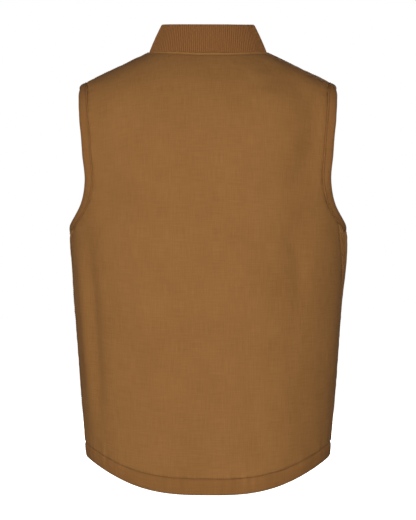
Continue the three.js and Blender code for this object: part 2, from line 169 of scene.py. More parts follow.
# Seeds of the noise, and how far apart two seeds lie in it
BACK_SEED = 1
BACK_NECK_SEED = 5
FRONT_SEED = 8
FRONT_NECK_SEED = 12
ARMHOLE_SEED = 20
BINDING_SEED = 30
HEM_SEED = 40
WELT_SEED = 50
SEED_STEP = 7.31

# Mesh spacing of the cloth, near its edges and between, and how wide the fine stretches are
FINE_STEP = 0.0012
CLOTH_STEP = 0.0033
SIDE_MARGIN = 0.012
NECK_MARGIN = 0.009
HEM_MARGIN = 0.006
TOP_LEVEL = 0.0054


# Form of the body

def smoothstep(value, low, high):
    t = np.clip((value - low) / (high - low), 0, 1)
    return t * t * (3 - 2 * t)


def bell(off, breadth):
    return np.exp(-((off / breadth) ** 2))


def unit(vectors):
    return vectors / np.linalg.norm(vectors, axis=-1, keepdims=True)


def smooth(rows, column, z):
    """A cubic curve down through one column of a table, its slope at a row taken from the neighbours."""
    table = np.array(rows)
    drops, values = -height_of(table[:, 0]), table[:, column]
    last = len(rows) - 1
    before = np.maximum(np.arange(last + 1) - 1, 0)
    after = np.minimum(np.arange(last + 1) + 1, last)
    slopes = (values[after] - values[before]) / (drops[after] - drops[before])
    at = np.clip(-z, drops[0], drops[-1])
    i = np.clip(np.searchsorted(drops, at) - 1, 0, last - 1)
    span = drops[i + 1] - drops[i]
    t = (at - drops[i]) / span
    rise = values[i + 1] - values[i]
    bend_start = slopes[i] * span - rise
    bend_end = rise - slopes[i + 1] * span
    return values[i] + rise * t + t * (1 - t) * (bend_start * (1 - t) + bend_end * t)


def level_of(z):
    return np.interp(-z, -LEVEL_HEIGHTS, np.arange(5))


def height_of(level):
    return np.interp(level, np.arange(5), LEVEL_HEIGHTS)


def half_width(z):
    level = level_of(z)
    shoulder = NECK_HALF_WIDTH + (SHOULDER_HALF_WIDTH - NECK_HALF_WIDTH) * level
    return np.where(level < 1, shoulder, SHOULDER_HALF_WIDTH * smooth(SIDE_ROWS, 1, z))


def shaping_width(z, across):
    """The half width at a share of the way across: the shoulder tip's corner fades towards the middle."""
    middle = SHOULDER_HALF_WIDTH * smooth(MIDDLE_ROWS, 1, z)
    return middle + (half_width(z) - middle) * np.abs(across) ** 6


def depth(z, behind):
    back = BACK_DEPTH * smooth(DEPTH_ROWS, 1, z)
    front = FRONT_DEPTH * smooth(DEPTH_ROWS, 2, z)
    return np.where(behind, back, front)


def fold_height(x, z):
    """How far the folds and hollows of the back stand out."""
    width = half_width(z)
    level = level_of(z)
    height = np.zeros(np.shape(x))
    for across, at_level, breadth, length, lean, deep in BACK_FOLDS:
        middle = across * width + lean * SHOULDER_HALF_WIDTH * (level - at_level)
        off = (x - middle) / (breadth * SHOULDER_HALF_WIDTH)
        along = (z - height_of(at_level)) / (length * SIDE_LENGTH)
        height = height + deep * BACK_DEPTH * np.exp(-off**2 - along**4)
    return height


def column_angle(angle, z):
    """Under the arms the columns bend back with the side seams."""
    level = level_of(z)
    set_back = math.asin(SEAM_SET_BACK / BACK_DEPTH)
    rise = smoothstep(level, 1.4, 1.9)
    left = rise * (1 - smoothstep(level, 1.95, SEAM_END_LEFT))
    right = rise * (1 - smoothstep(level, 1.95, SEAM_END_RIGHT))
    near_left = np.maximum(0, np.cos(angle)) ** 2
    near_right = np.maximum(0, -np.cos(angle)) ** 2
    return angle + set_back * (left * near_left - right * near_right)


def round_outline(angle):
    """The rounded outline that all sections share, from -1 to 1 both ways."""
    c, s = np.cos(angle), np.sin(angle)
    size = (np.abs(c) ** ROUNDNESS + np.abs(s) ** ROUNDNESS) ** (1 / ROUNDNESS)
    return c / size, s / size


def row_height(angle, level):
    """Height of a row at a column: level in the middle, and bent to the neckline and the tail."""
    s = np.sin(angle)
    neck = np.where(s > 0, BACK_NECK_DROP * np.abs(s) ** 3, FRONT_NECK_DROP * np.abs(s) ** 7)
    across = np.abs(round_outline(angle)[0])
    tail = np.where(s > 0, TAIL_DROP * np.maximum(0, 1 - across**2.9) ** 1.15, 0)
    near_neck = np.maximum(0, 1 - height_of(level) / height_of(1.5))
    return height_of(level) - neck * near_neck - tail * smoothstep(level, 2.5, 3)


def plain_point(column, level):
    """Column 0 is the wearer's left, a quarter turn the back."""
    z = row_height(column, level)
    across, deep = round_outline(column_angle(column, z))
    y = depth(z, deep > 0) * deep
    return np.stack(np.broadcast_arrays(shaping_width(z, across) * across, y, z), axis=-1)


def outward(column, level):
    """The outward direction, square to the plain form."""
    step = 0.01
    across = plain_point(column + step, level) - plain_point(column - step, level)
    lower = plain_point(column, np.minimum(level + step, 3))
    upper = plain_point(column, np.maximum(level - step, 0))
    return unit(np.cross(lower - upper, across))


def add_folds(point, normal):
    x, y, z = point[..., 0], point[..., 1], point[..., 2]
    fade = np.clip(y / (0.4 * BACK_DEPTH), 0, 1)
    return point + (fold_height(x, z) * fade)[..., None] * normal


def cloth_point(column, level):
    return add_folds(plain_point(column, level), outward(column, level))


# Armhole

def side_point(y, z):
    """The place on the plain form that lies over a (y, z) pair on the wearer's left."""
    share = np.minimum(0.99, np.abs(y) / depth(z, y > 0))
    across = (1 - share**ROUNDNESS) ** (1 / ROUNDNESS)
    return np.stack(np.broadcast_arrays(shaping_width(z, across) * across, y, z), axis=-1)


def side_normal(y, z):
    step = 0.0005
    in_y = side_point(y + step, z) - side_point(y - step, z)
    in_z = side_point(y, z + step) - side_point(y, z - step)
    return unit(np.cross(in_y, in_z))


def onto_form(point):
    """Moves places near the plain form onto it."""
    for _ in range(3):
        y, z = point[..., 1], point[..., 2]
        normal = side_normal(y, z)
        off = point[..., 0] - side_point(y, z)[..., 0]
        point = point - (off * normal[..., 0])[..., None] * normal
    return point


def armhole_edge(turn):
    across, up = round_outline(turn)
    reach = np.where(across > 0, ARMHOLE_BACK_REACH, ARMHOLE_FRONT_REACH)
    return reach * across, ARMHOLE_MIDDLE + ARMHOLE_HEIGHT / 2 * up


def armhole_ring(side, turn, distance):
    """Places at a distance outside the armhole's edge, with their outward directions and the ways
    that lead from the edge."""
    y, z = armhole_edge(turn)
    step = 0.02
    along = unit(side_point(*armhole_edge(turn + step)) - side_point(*armhole_edge(turn - step)))
    away = unit(np.cross(along, side_normal(y, z)))
    point = onto_form(side_point(y, z) + np.asarray(distance)[..., None] * away)
    normal = side_normal(point[..., 1], point[..., 2])
    mirror = np.array([side, 1, 1])
    return add_folds(point * mirror, normal * mirror), normal * mirror, away * mirror


# Cloth

def soft_noise(seed, *axes):
    """Perlin noise at each place, from about -1 to 1. The axes are already divided by the size wanted."""
    arrays = np.broadcast_arrays(*axes)
    across = arrays[0].ravel()
    down = arrays[1].ravel() if len(arrays) > 1 else np.full(across.size, 0.5)
    values = [noise.noise(Vector((u, v, seed * SEED_STEP))) for u, v in zip(across, down)]
    return np.array(values).reshape(arrays[0].shape)


def graded(total, first, last):
    """Distances from 0 to total, in fine steps over the first and last stretch and coarser ones between."""
    start = np.linspace(0, first, round(first / FINE_STEP) + 1)
    middle = np.linspace(first, total - last, round((total - first - last) / CLOTH_STEP) + 1)
    end = np.linspace(total - last, total, round(last / FINE_STEP) + 1)
    return np.concatenate([start, middle[1:], end[1:]])


def along_lengths(points):
    steps = np.linalg.norm(np.diff(points, axis=0), axis=-1)
    return np.concatenate([[0], np.cumsum(steps)])


def cloth_columns(start, end, edge):
    """Columns at even distances along the cloth, finer within a distance of both seams."""
    angles = np.linspace(start, end, 2000)
    lengths = along_lengths(plain_point(angles, 2.3))
    return np.interp(graded(lengths[-1], edge, edge), lengths, angles)


def cloth_levels(column, top, bottom, first, last):
    levels = np.linspace(top, bottom, 2000)
    lengths = along_lengths(plain_point(column, levels))
    return np.interp(graded(lengths[-1], first, last), lengths, levels)


class Cloth:
    """A grid of places on the cloth, one column after another, with lengths measured along the cloth."""

    def __init__(self, columns, levels):
        column, level = columns[:, None], levels[None, :]
        self.column, self.level = np.broadcast_arrays(column, level)
        self.point = cloth_point(column, level)
        self.normal = outward(column, level)
        across = np.linalg.norm(np.diff(self.point, axis=0), axis=-1)
        down = np.linalg.norm(np.diff(self.point, axis=1), axis=-1)
        self.across = np.concatenate([np.zeros((1, len(levels))), np.cumsum(across, axis=0)])
        self.down = np.concatenate([np.zeros((len(columns), 1)), np.cumsum(down, axis=1)], axis=1)
        self.lift = np.zeros(self.across.shape)
        self.wear_and_shade = np.full(self.across.shape, PLAIN_WEAR_AND_SHADE)

    def from_last(self):
        return self.across[-1] - self.across

    def from_bottom(self):
        return self.down[:, -1:] - self.down

    def uv(self):
        """Metres across from the middle column, and up from the armpit's row."""
        middle = self.across[len(self.across) // 2]
        armpit = np.abs(self.level[0] - 2).argmin()
        above = self.down[:, armpit : armpit + 1] - self.down
        return np.stack([self.across - middle, above], axis=-1)

    def lifted(self):
        return self.point + self.lift[..., None] * self.normal


def armhole_distance(cloth, side):
    """How far each place lies outside the binding, negative under it, and how far it is along the ring."""
    turns = np.linspace(0, 2 * math.pi, EDGE_PLACES, endpoint=False)
    ring, _, away = armhole_ring(side, turns, np.full(EDGE_PLACES, BINDING_WIDTH))
    lengths = along_lengths(ring)
    tree = kdtree.KDTree(len(ring))
    for i, place in enumerate(ring):
        tree.insert(place, i)
    tree.balance()
    shape = cloth.across.shape
    distance, along = np.full(shape, 9.0), np.zeros(shape)
    beside = (cloth.level < 2.5) & (cloth.point[..., 0] * side > 0.08)
    for i, j in zip(*np.nonzero(beside)):
        place = cloth.point[i, j]
        _, k, far = tree.find(place)
        distance[i, j] = math.copysign(far, float(np.dot(place - ring[k], away[k])))
        along[i, j] = lengths[k]
    return distance, along


def cloth_mesh(name, points, uvs, wear_and_shade, keep=None, closed=False):
    """A grid mesh laid over the given places, as an object at the origin."""
    columns, rows = points.shape[0] - 1, points.shape[1] - 1
    mesh = bmesh.new()
    bmesh.ops.create_grid(mesh, x_segments=columns, y_segments=rows, size=1)
    uv_layer = mesh.loops.layers.uv.new("cloth")
    wear_and_shade_layer = mesh.verts.layers.float.new("wear_and_shade")
    index = {}
    for vert in mesh.verts:
        i = round((vert.co.x + 1) / 2 * columns)
        j = round((1 - vert.co.y) / 2 * rows)
        index[vert] = (i, j)
        vert.co = points[i, j]
        vert[wear_and_shade_layer] = wear_and_shade[i, j]
    for face in mesh.faces:
        face.smooth = True
        for loop in face.loops:
            loop[uv_layer].uv = uvs[index[loop.vert]]
    if keep is not None:
        gone = [face for face in mesh.faces if not all(keep[index[vert]] for vert in face.verts)]
        bmesh.ops.delete(mesh, geom=gone, context="FACES")
    if closed:
        bmesh.ops.remove_doubles(mesh, verts=mesh.verts, dist=1e-6)
        ends = [edge for edge in mesh.edges if edge.is_boundary]
        bmesh.ops.holes_fill(mesh, edges=ends, sides=0)
        bmesh.ops.recalc_face_normals(mesh, faces=mesh.faces)
    return to_object(mesh, name)


def to_object(mesh, name):
    data = bpy.data.meshes.new(name)
    mesh.to_mesh(data)
    mesh.free()
    piece = bpy.data.objects.new(name, data)
    bpy.context.scene.collection.objects.link(piece)
    return piece


def dress(piece, slot, *materials):
    for material in materials:
        piece.data.materials.append(material)
    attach(piece, "root")
    return piece


def give_wall(piece, thickness):
    wall = piece.modifiers.new("Wall", "SOLIDIFY")
    wall.thickness = thickness
    wall.offset = -1


def press_neck(cloth, seed):
    """The ridge over the neck seam, the ditch below it and its puckers."""
    neck = cloth.down
    facing = smoothstep(np.abs(np.sin(cloth.column)), 0.05, 0.5)
    ridge = facing * np.sin(math.pi * np.clip(neck / NECK_RIDGE_WIDTH, 0, 1)) ** 0.8
    ditch = facing * bell(neck - NECK_STITCH_LINE, 0.0011)
    pucker = soft_noise(seed, cloth.across / 0.007, neck / 0.05) * np.exp(-neck / 0.012)
    cloth.lift += 0.0013 * ridge - 0.0006 * ditch + 0.0005 * pucker
    # Scuffed ridge paler; painted shade in the ditch below it.
    cloth.wear_and_shade += 0.12 * ridge - 0.14 * ditch


def press_hem(cloth):
    """The ditch along the hem's stitches, with painted shade in it, and their puckers, with painted
    highlight where they stand out and painted shade between.
    """
    hem = cloth.from_bottom()
    ditch = bell(hem, 0.0022)
    puckers = hem_puckers(cloth.point)
    cloth.lift += puckers * np.exp(-hem / 0.022) - 0.0005 * ditch
    # Painted highlight on the pucker crests, painted shade in their hollows and in the ditch.
    cloth.wear_and_shade += 110 * puckers * np.exp(-hem / 0.01) - 0.03 * ditch


def press_sides(cloth, seed):
    """The ridge of each seam down the side or the centre front, the ditch beside it, deepest under the
    armpit, and its puckers."""
    for edge in (cloth.across, cloth.from_last()):
        ditch = bell(edge - SIDE_RIDGE_WIDTH - 0.001, 0.0016)
        ridge = smoothstep(SIDE_RIDGE_WIDTH - edge, 0, 0.002)
        pucker = soft_noise(seed, cloth.down / 0.009, edge / 0.05) * np.exp(-edge / 0.011)
        below_pit = bell(cloth.level - 2.15, 0.25)
        cloth.lift += 0.0009 * ridge - (0.0005 + 0.001 * below_pit) * ditch + 0.0005 * pucker
        # Scuffed ridge paler; painted shade in the ditch, darkest under the armpit.
        cloth.wear_and_shade += 0.16 * ridge - (0.12 + 0.28 * below_pit) * ditch


def press_armholes(cloth, sides):
    """The ditch and the puckers along each binding. Returns which places stay, clear of the holes."""
    keep = np.ones(cloth.across.shape, bool)
    for side in sides:
        distance, along = armhole_distance(cloth, side)
        near = np.maximum(distance, 0)
        ditch = bell(near, 0.0028)
        pucker = soft_noise(ARMHOLE_SEED + side, along / 0.009, near / 0.06) * np.exp(-near / 0.014)
        sharp = 1.0 if side < 0 else 0.4
        cloth.lift += 0.0008 * pucker - 0.0011 * sharp * ditch
        # Painted shade in the ditch along the binding.
        cloth.wear_and_shade -= 0.05 * sharp * ditch
        keep &= distance > -BINDING_OVERLAP
    return keep


def hem_puckers(point):
    """Short upright ripples where the hem's stitching draws the cloth in, closer at the left curve."""
    across = np.arctan2(point[..., 1], point[..., 0]) * HEM_RADIUS
    strength = 0.6 + 0.8 * soft_noise(HEM_SEED + 1, across / 0.05)
    even = 0.0011 * strength * soft_noise(HEM_SEED, across / 0.0105)
    close = 0.0014 * bell(across - 0.09, 0.04) * soft_noise(HEM_SEED + 2, across / 0.005)
    return even + close


def drape(cloth, seed):
    """The soft unevenness of a heavy cloth that hangs."""
    u, v = cloth.uv()[..., 0], cloth.uv()[..., 1]
    for k, (height, wide, long) in enumerate(DRAPE_ROWS):
        cloth.lift += height * soft_noise(seed + k, u / wide, v / long)


def press_creases(cloth):
    """Short creases, each a soft ridge along a straight line that dies out at both ends."""
    x, z = cloth.point[..., 0], cloth.point[..., 2]
    for start_x, start_level, end_x, end_level, breadth, height in BACK_CREASES:
        start = np.array([start_x, height_of(start_level)])
        way = np.array([end_x, height_of(end_level)]) - start
        along = ((x - start[0]) * way[0] + (z - start[1]) * way[1]) / (way @ way)
        off = ((x - start[0]) * way[1] - (z - start[1]) * way[0]) / np.linalg.norm(way)
        fade = smoothstep(along, -0.2, 0.3) * (1 - smoothstep(along, 0.7, 1.2))
        cloth.lift += height * fade * bell(off, breadth)


def cloth_piece(name, cloth, keep):
    """The outer cloth, grown inwards to its wall, with the lining's material on the inside."""
    piece = cloth_mesh(name, cloth.lifted(), cloth.uv(), cloth.wear_and_shade, keep)
    give_wall(piece, CLOTH_WALL)
    piece.modifiers["Wall"].material_offset = 1
    return piece


def back_cloth():
    columns = cloth_columns(0, math.pi, SIDE_MARGIN)
    cloth = Cloth(columns, cloth_levels(math.pi / 2, TOP_LEVEL, HEM_LEVEL, NECK_MARGIN, HEM_MARGIN))
    drape(cloth, BACK_SEED)
    press_creases(cloth)
    press_neck(cloth, BACK_NECK_SEED)
    press_hem(cloth)
    press_sides(cloth, BACK_NECK_SEED + 3)
    keep = press_armholes(cloth, (1, -1))
    return cloth_piece("back_cloth", cloth, keep), cloth


def front_cloth(side):
    """One front: side is 1 for the wearer's left and -1 for the right."""
    half = math.pi / 2
    start, end = (-half, 0) if side > 0 else (math.pi, 3 * half)
    columns = cloth_columns(start + ZIP_GAP_TURN * (side > 0), end - ZIP_GAP_TURN * (side < 0), SIDE_MARGIN)
    levels = cloth_levels((start + end) / 2, TOP_LEVEL, HEM_LEVEL, NECK_MARGIN, HEM_MARGIN)
    cloth = Cloth(columns, levels)
    x = np.abs(cloth.point[..., 0])
    at_zip = 0 if side > 0 else -1
    cloth.point[at_zip, :, 0] = side * ZIP_HALF_GAP
    drape(cloth, FRONT_SEED + side)
    if side < 0:
        press_side_pleat(cloth)
    cloth.lift += 0.0006 * smoothstep(0.011 - x, 0, 0.002)
    press_neck(cloth, FRONT_NECK_SEED + side)
    press_hem(cloth)
    press_sides(cloth, FRONT_NECK_SEED + side + 3)
    keep = press_armholes(cloth, (side,))
    name = "front_cloth_left" if side > 0 else "front_cloth_right"
    return cloth_piece(name, cloth, keep), cloth


def press_side_pleat(cloth):
    """A soft pleat that hangs from the right armpit beside the side seam, with a painted highlight on its
    fold and a painted shadow in the slit beside it.
    """
    stretch = smoothstep(cloth.level, 1.9, 2.05) * (1 - smoothstep(cloth.level, 2.3, 2.55))
    edge = cloth.across
    fold = bell(edge - 0.021, 0.007)
    slit = bell(edge - 0.034, 0.004)
    cloth.lift += stretch * (0.004 * fold - 0.005 * slit)
    # Painted highlight on the fold and painted shadow in the slit.
    cloth.wear_and_shade += stretch * (0.08 * fold - 0.3 * slit)


# Closed strips

def strip_mesh(name, place, profile, stations, lengths, wear_and_shade):
    """A strip of doubled cloth with a closed profile of (distance across, lift) pairs. For stations and
    one distance, place gives points, outward directions and the ripple of the outer face."""
    loop = profile + profile[:1]
    rim = along_lengths(np.array(loop))
    rows = []
    for distance, lift in loop:
        point, normal, ripple = place(stations, distance)
        outer = 1.0 if lift > -0.001 else 0.0
        rows.append(point + (lift + outer * ripple)[..., None] * normal)
    points = np.stack(rows, axis=1)
    uvs = np.stack(np.broadcast_arrays(lengths[:, None], rim[None, :]), axis=-1)
    wear_and_shade_rows = [np.broadcast_to(wear_and_shade(distance, lift), lengths.shape) for distance, lift in loop]
    return cloth_mesh(name, points, uvs, np.stack(wear_and_shade_rows, axis=1), closed=True)


# Section of a binding: distance out from the armhole's edge, lift
BINDING_PROFILE = (
    (0.0170, -0.0010), (0.0170, 0.0002), (0.0166, 0.0010), (0.0160, 0.0013), (0.0153, 0.0010),
    (0.0147, 0.0006), (0.0141, 0.0009), (0.0130, 0.0015), (0.0110, 0.0020), (0.0080, 0.0022),
    (0.0050, 0.0021), (0.0025, 0.0016), (0.0008, 0.0006), (0.0, -0.0006), (-0.0003, -0.0016),
    (0.0002, -0.0027), (0.0015, -0.0036), (0.0040, -0.0040), (0.0090, -0.0041), (0.0140, -0.0040),
    (0.0165, -0.0036), (0.0172, -0.0025),
)


def armhole_binding(side):
    """The topstitched band round an armhole, flatter over the shoulder tip and under the arm."""
    turns = np.linspace(0, 2 * math.pi, BINDING_TURNS + 1)
    outer_edge, _, _ = armhole_ring(side, turns, np.full(turns.shape, BINDING_WIDTH))
    lengths = along_lengths(outer_edge)
    around = 2 * math.pi * lengths / lengths[-1]
    reach = lengths[-1] / (2 * math.pi) / 0.009
    pucker = soft_noise(BINDING_SEED + side, reach * np.cos(around), reach * np.sin(around))
    at_tip = smoothstep(np.sin(turns), 0.8, 1.0)
    at_pit = smoothstep(-np.sin(turns), 0.5, 1.0)

    def place(stations, distance):
        point, normal, _ = armhole_ring(side, stations, np.full(stations.shape, distance))
        sink = 0.0045 * at_tip * math.exp(-max(distance, 0) / 0.005)
        near_stitches = math.exp(-abs(distance - BINDING_STITCH_LINE) / 0.006)
        ripple = 0.0007 * pucker * near_stitches - 0.0008 * at_tip - 0.0012 * at_pit
        return point - sink[:, None] * normal, normal, ripple

    def wear_and_shade(distance, lift):
        if lift < -0.001:
            return INSIDE_WEAR_AND_SHADE
        stitch_shade = bell(distance - BINDING_STITCH_LINE, 0.0009)
        # Painted shade along the stitch line; inner faces a little darker; the outer edge paler where it is
        # scuffed.
        return PLAIN_WEAR_AND_SHADE - 0.12 * stitch_shade + 0.06 * (distance < 0.002)

    name = "armhole_binding_left" if side > 0 else "armhole_binding_right"
    return strip_mesh(name, place, BINDING_PROFILE, turns, lengths, wear_and_shade)


# Section of the hem: distance down from the stitches, lift
HEM_PROFILE = (
    (0.0, -0.0012), (0.0006, -0.0009), (0.0014, -0.0003), (0.0028, 0.0006), (0.0055, 0.0011),
    (0.0095, 0.0013), (0.0142, 0.0013), (0.0184, 0.0012), (0.0212, 0.0008), (0.0228, 0.0001),
    (0.0235, -0.0012), (0.0232, -0.0026), (0.0218, -0.0036), (0.0188, -0.0040), (0.0112, -0.0042),
    (0.0038, -0.0040), (0.0008, -0.0036), (0.0, -0.0026),
)


def hem_strip(name, start, end):
    """The turned-up hem between two columns, scuffed paler along its fold, with painted shade along its
    stitches and painted highlight and shade on its puckers.
    """
    columns = cloth_columns(start, end, HEM_MARGIN)
    edge = plain_point(columns, 3.0)
    edge_puckers = hem_puckers(edge)

    def place(stations, distance):
        level = np.full(stations.shape, HEM_LEVEL + (3 - HEM_LEVEL) * distance / HEM_WIDTH)
        point = cloth_point(stations, level)
        return point, outward(stations, level), hem_puckers(point) * math.exp(-distance / 0.016)

    def wear_and_shade(distance, lift):
        if lift < -0.0025:
            return INSIDE_WEAR_AND_SHADE
        stitch_shade = bell(distance, 0.002)
        fold = bell(distance - HEM_WIDTH, 0.002)
        # Painted highlight on the pucker crests and painted shade in their hollows, fading up the hem.
        pucker_light_and_shade = 150 * edge_puckers * math.exp(-distance / 0.02)
        return PLAIN_WEAR_AND_SHADE - 0.05 * stitch_shade + 0.08 * fold + pucker_light_and_shade

    return strip_mesh(name, place, HEM_PROFILE, columns, along_lengths(edge), wear_and_shade)


# Collar

def neckline(column):
    return cloth_point(column, np.zeros(np.shape(column)))


def neckline_direction(column):
    """The way along the neckline, evened out over a short stretch."""
    reach = math.radians(7.5)
    return unit(neckline(column + reach) - neckline(column - reach))


def collar_point(column, share, lift):
    """share runs from 0 at the neckline to 1 at the top edge, lift is square to the collar."""
    along = neckline_direction(column)
    inwards = unit(np.stack([-along[..., 1], along[..., 0], np.zeros(np.shape(column))], axis=-1))
    back = np.sin(column)
    lean = COLLAR_SIDE_LEAN * (1 - back**2) + np.where(back > 0, COLLAR_BACK_LEAN * back**2, 0)
    middle = np.where(back > 0, COLLAR_BACK_HEIGHT, COLLAR_FRONT_HEIGHT)
    rise = inwards * lean[..., None]
    rise[..., 2] = COLLAR_SIDE_HEIGHT + (middle - COLLAR_SIDE_HEIGHT) * back**2
    normal = unit(np.cross(along, rise))
    return neckline(column) + rise * np.asarray(share)[..., None] + normal * np.asarray(lift)[..., None]


# Section of the collar: share of its height, lift in millimetres
COLLAR_PROFILE = (
    (-0.03, -0.2), (0.02, 0.1), (0.08, 0.35), (0.2, 0.6), (0.35, 0.8), (0.5, 0.85), (0.65, 0.75),
    (0.8, 0.5), (0.9, 0.2), (0.95, -0.1), (0.98, -0.6), (0.995, -1.3), (1.0, -2.0), (0.995, -2.7),
    (0.98, -3.4), (0.95, -3.9), (0.85, -4.3), (0.65, -4.6), (0.4, -4.6), (0.15, -4.3), (-0.03, -4.0),
)


def collar_knit():
    """The collar, with real ribs on both faces that run over its top edge, and painted shade between them.
    """
    half = math.pi / 2
    samples = np.linspace(-half, 3 * half, 1500)
    lengths = along_lengths(neckline(samples))
    ribs = round((lengths[-1] - 2 * ZIP_HALF_GAP) / RIB_PITCH)
    stations = np.linspace(ZIP_HALF_GAP, lengths[-1] - ZIP_HALF_GAP, ribs * RIB_FACETS + 1)
    columns = np.interp(stations, lengths, samples)
    rib = 0.5 + 0.5 * np.cos(np.arange(len(stations)) * 2 * math.pi / RIB_FACETS)
    crown = np.sqrt(rib)
    middle = -COLLAR_WALL / 2 * 1000
    rows, wear_and_shade_rows = [], []
    for share, lift in COLLAR_PROFILE + COLLAR_PROFILE[:1]:
        facing = 1 if lift > middle else -1
        at_edge = 0.6 if abs(lift - middle) < 1.5 else 1.0
        relief = (crown - 1) * RIB_RELIEF * facing * at_edge
        rows.append(collar_point(columns, np.full(columns.shape, share), lift * 0.001 + relief))
        # Painted shade between the ribs; the top edge a little paler.
        wear_and_shade_rows.append(0.22 + 0.4 * crown + 0.08 * (share > 0.97))
    points = np.stack(rows, axis=1)
    rim = along_lengths(points[0])
    uvs = np.stack(np.broadcast_arrays(stations[:, None], rim[None, :]), axis=-1)
    return cloth_mesh("collar_knit", points, uvs, np.stack(wear_and_shade_rows, axis=1), closed=True)


# Zip

def zip_line():
    """The zip's line from the hem to the collar's top edge, as points and forward directions."""
    front = -math.pi / 2
    levels = np.linspace(3, 0, ZIP_PLACES)
    body = cloth_point(np.full(ZIP_PLACES, front), levels)
    out = outward(np.full(ZIP_PLACES, front), levels)
    shares = np.linspace(0.05, 1, ZIP_COLLAR_PLACES)
    collar = collar_point(np.full(ZIP_COLLAR_PLACES, front), shares, np.zeros(ZIP_COLLAR_PLACES))
    forward = np.broadcast_to([0.0, -1.0, 0.0], collar.shape)
    return np.concatenate([body, collar]), np.concatenate([out, forward])


def zip_tape():
    """Both tapes as one sheet behind the teeth, which bends back with the fronts."""
    points, out = zip_line()
    half = TAPE_WIDTH / 2
    across = (half, half / 2, 0, -half / 2, -half)
    rows = []
    for x in across:
        z = points[:, 2]
        fall = depth(z, False) * (1 - (1 - (np.abs(x) / half_width(z)) ** ROUNDNESS) ** (1 / ROUNDNESS))
        place = points + (-TAPE_DEPTH - 0.3 * fall)[:, None] * out
        place[:, 0] = x
        rows.append(place)
    grid = np.stack(rows, axis=1)
    lengths = along_lengths(points)
    widths = np.linspace(0, TAPE_WIDTH, len(across))
    uvs = np.stack(np.broadcast_arrays(lengths[:, None], widths[None, :]), axis=-1)
    piece = cloth_mesh("zip_tape", grid, uvs, np.full(grid.shape[:2], PLAIN_WEAR_AND_SHADE))
    give_wall(piece, TAPE_THICKNESS)
    return piece


def even_places(points, normals, pitch):
    """Places at an even pitch along a line, with their outward directions and tangents."""
    lengths = along_lengths(points)
    count = max(2, round(lengths[-1] / pitch))
    at = (np.arange(count) + 0.5) * lengths[-1] / count
    place = np.stack([np.interp(at, lengths, points[:, k]) for k in range(3)], axis=-1)
    normal = unit(np.stack([np.interp(at, lengths, normals[:, k]) for k in range(3)], axis=-1))
    tangent = unit(np.gradient(place, axis=0))
    return place, normal, tangent


def stand(place, along, across, up, sizes):
    """A matrix that stands a unit shape at a place, its X along, Y across and Z up, scaled by sizes."""
    columns = [Vector(axis) * size for axis, size in zip((along, across, up), sizes)]
    matrix = Matrix(columns).transposed().to_4x4()
    matrix.translation = Vector(place)
    return matrix


def round_edges(mesh, edges, offset, segments):
    bmesh.ops.bevel(
        mesh, geom=edges, offset=offset, segments=segments, affect="EDGES", profile=0.5, material=-1,
    )


def block(mesh, middle, sizes):
    matrix = Matrix.Translation(middle) @ Matrix.Diagonal((*sizes, 1))
    bmesh.ops.create_cube(mesh, size=1, matrix=matrix)


def zip_teeth():
    """Teeth set by turns on the two tapes, half a pitch apart."""
    points, out = zip_line()
    place, normal, tangent = even_places(points[3:], out[3:], TOOTH_PITCH / 2)
    mesh = bmesh.new()
    for k in range(len(place)):
        side = 1 if k % 2 else -1
        across = np.cross(tangent[k], normal[k]) * side
        middle = place[k] - TOOTH_SINK * normal[k] + TOOTH_SIDE_STEP * across
        matrix = stand(middle, tangent[k], across, normal[k], TOOTH_SIZE)
        bmesh.ops.create_cube(mesh, size=1, matrix=matrix)
    bmesh.ops.recalc_face_normals(mesh, faces=mesh.faces)
    round_edges(mesh, mesh.edges, 0.0003, 1)
    return to_object(mesh, "zip_teeth")


def zip_slider():
    """The slider's plate, the neck that holds it to the teeth, and the bridge for the pull."""
    points, _ = zip_line()
    top = Vector(points[-1])
    mesh = bmesh.new()
    face_y = top.y - 0.0008
    block(mesh, (0, face_y - 0.0015, top.z - 0.013), (0.0090, 0.0028, 0.0130))
    block(mesh, (0, face_y + 0.0010, top.z - 0.013), (0.0042, 0.0040, 0.0110))
    block(mesh, (0, face_y - 0.0033, top.z - 0.0105), (0.0030, 0.0012, 0.0060))
    round_edges(mesh, mesh.edges, 0.0006, 3)
    for face in mesh.faces:
        face.smooth = True
    return to_object(mesh, "zip_slider")


def zip_pull():
    """A flat tab with round ends and a sunk face on both sides."""
    points, _ = zip_line()
    top = Vector(points[-1])
    width, thick, length = PULL_SIZE
    mesh = bmesh.new()
    block(mesh, (0, top.y - 0.0047, top.z - 0.0098 - length / 2), PULL_SIZE)
    corners = [e for e in mesh.edges if abs(e.verts[0].co.y - e.verts[1].co.y) > thick / 2]
    round_edges(mesh, corners, width * 0.42, 6)
    faces = [f for f in mesh.faces if abs(f.normal.y) > 0.9]
    bmesh.ops.inset_region(mesh, faces=faces, thickness=0.0009, depth=-0.0003)
    return to_object(mesh, "zip_pull")


# Pockets

# Turn from the centre front and level of each end; the welt's share across and up, and the turn's radius
WELT_TOP = (0.37, 2.32)
WELT_FOOT = (0.58, 2.74)
WELT_ACROSS = 0.95
WELT_UP = 0.3
WELT_RADIUS = 0.235
WELT_WIDTH = 0.020
WELT_PLACES = 70
WELT_STITCH_LINES = (0.0018, 0.0172)

# Section of a welt: distance across, lift
WELT_PROFILE = (
    (0.0, -0.0010), (0.0002, 0.0008), (0.0012, 0.0019), (0.0030, 0.0024), (0.0080, 0.0026),
    (0.0140, 0.0025), (0.0176, 0.0021), (0.0192, 0.0014), (0.0200, 0.0004), (0.0200, -0.0010),
)


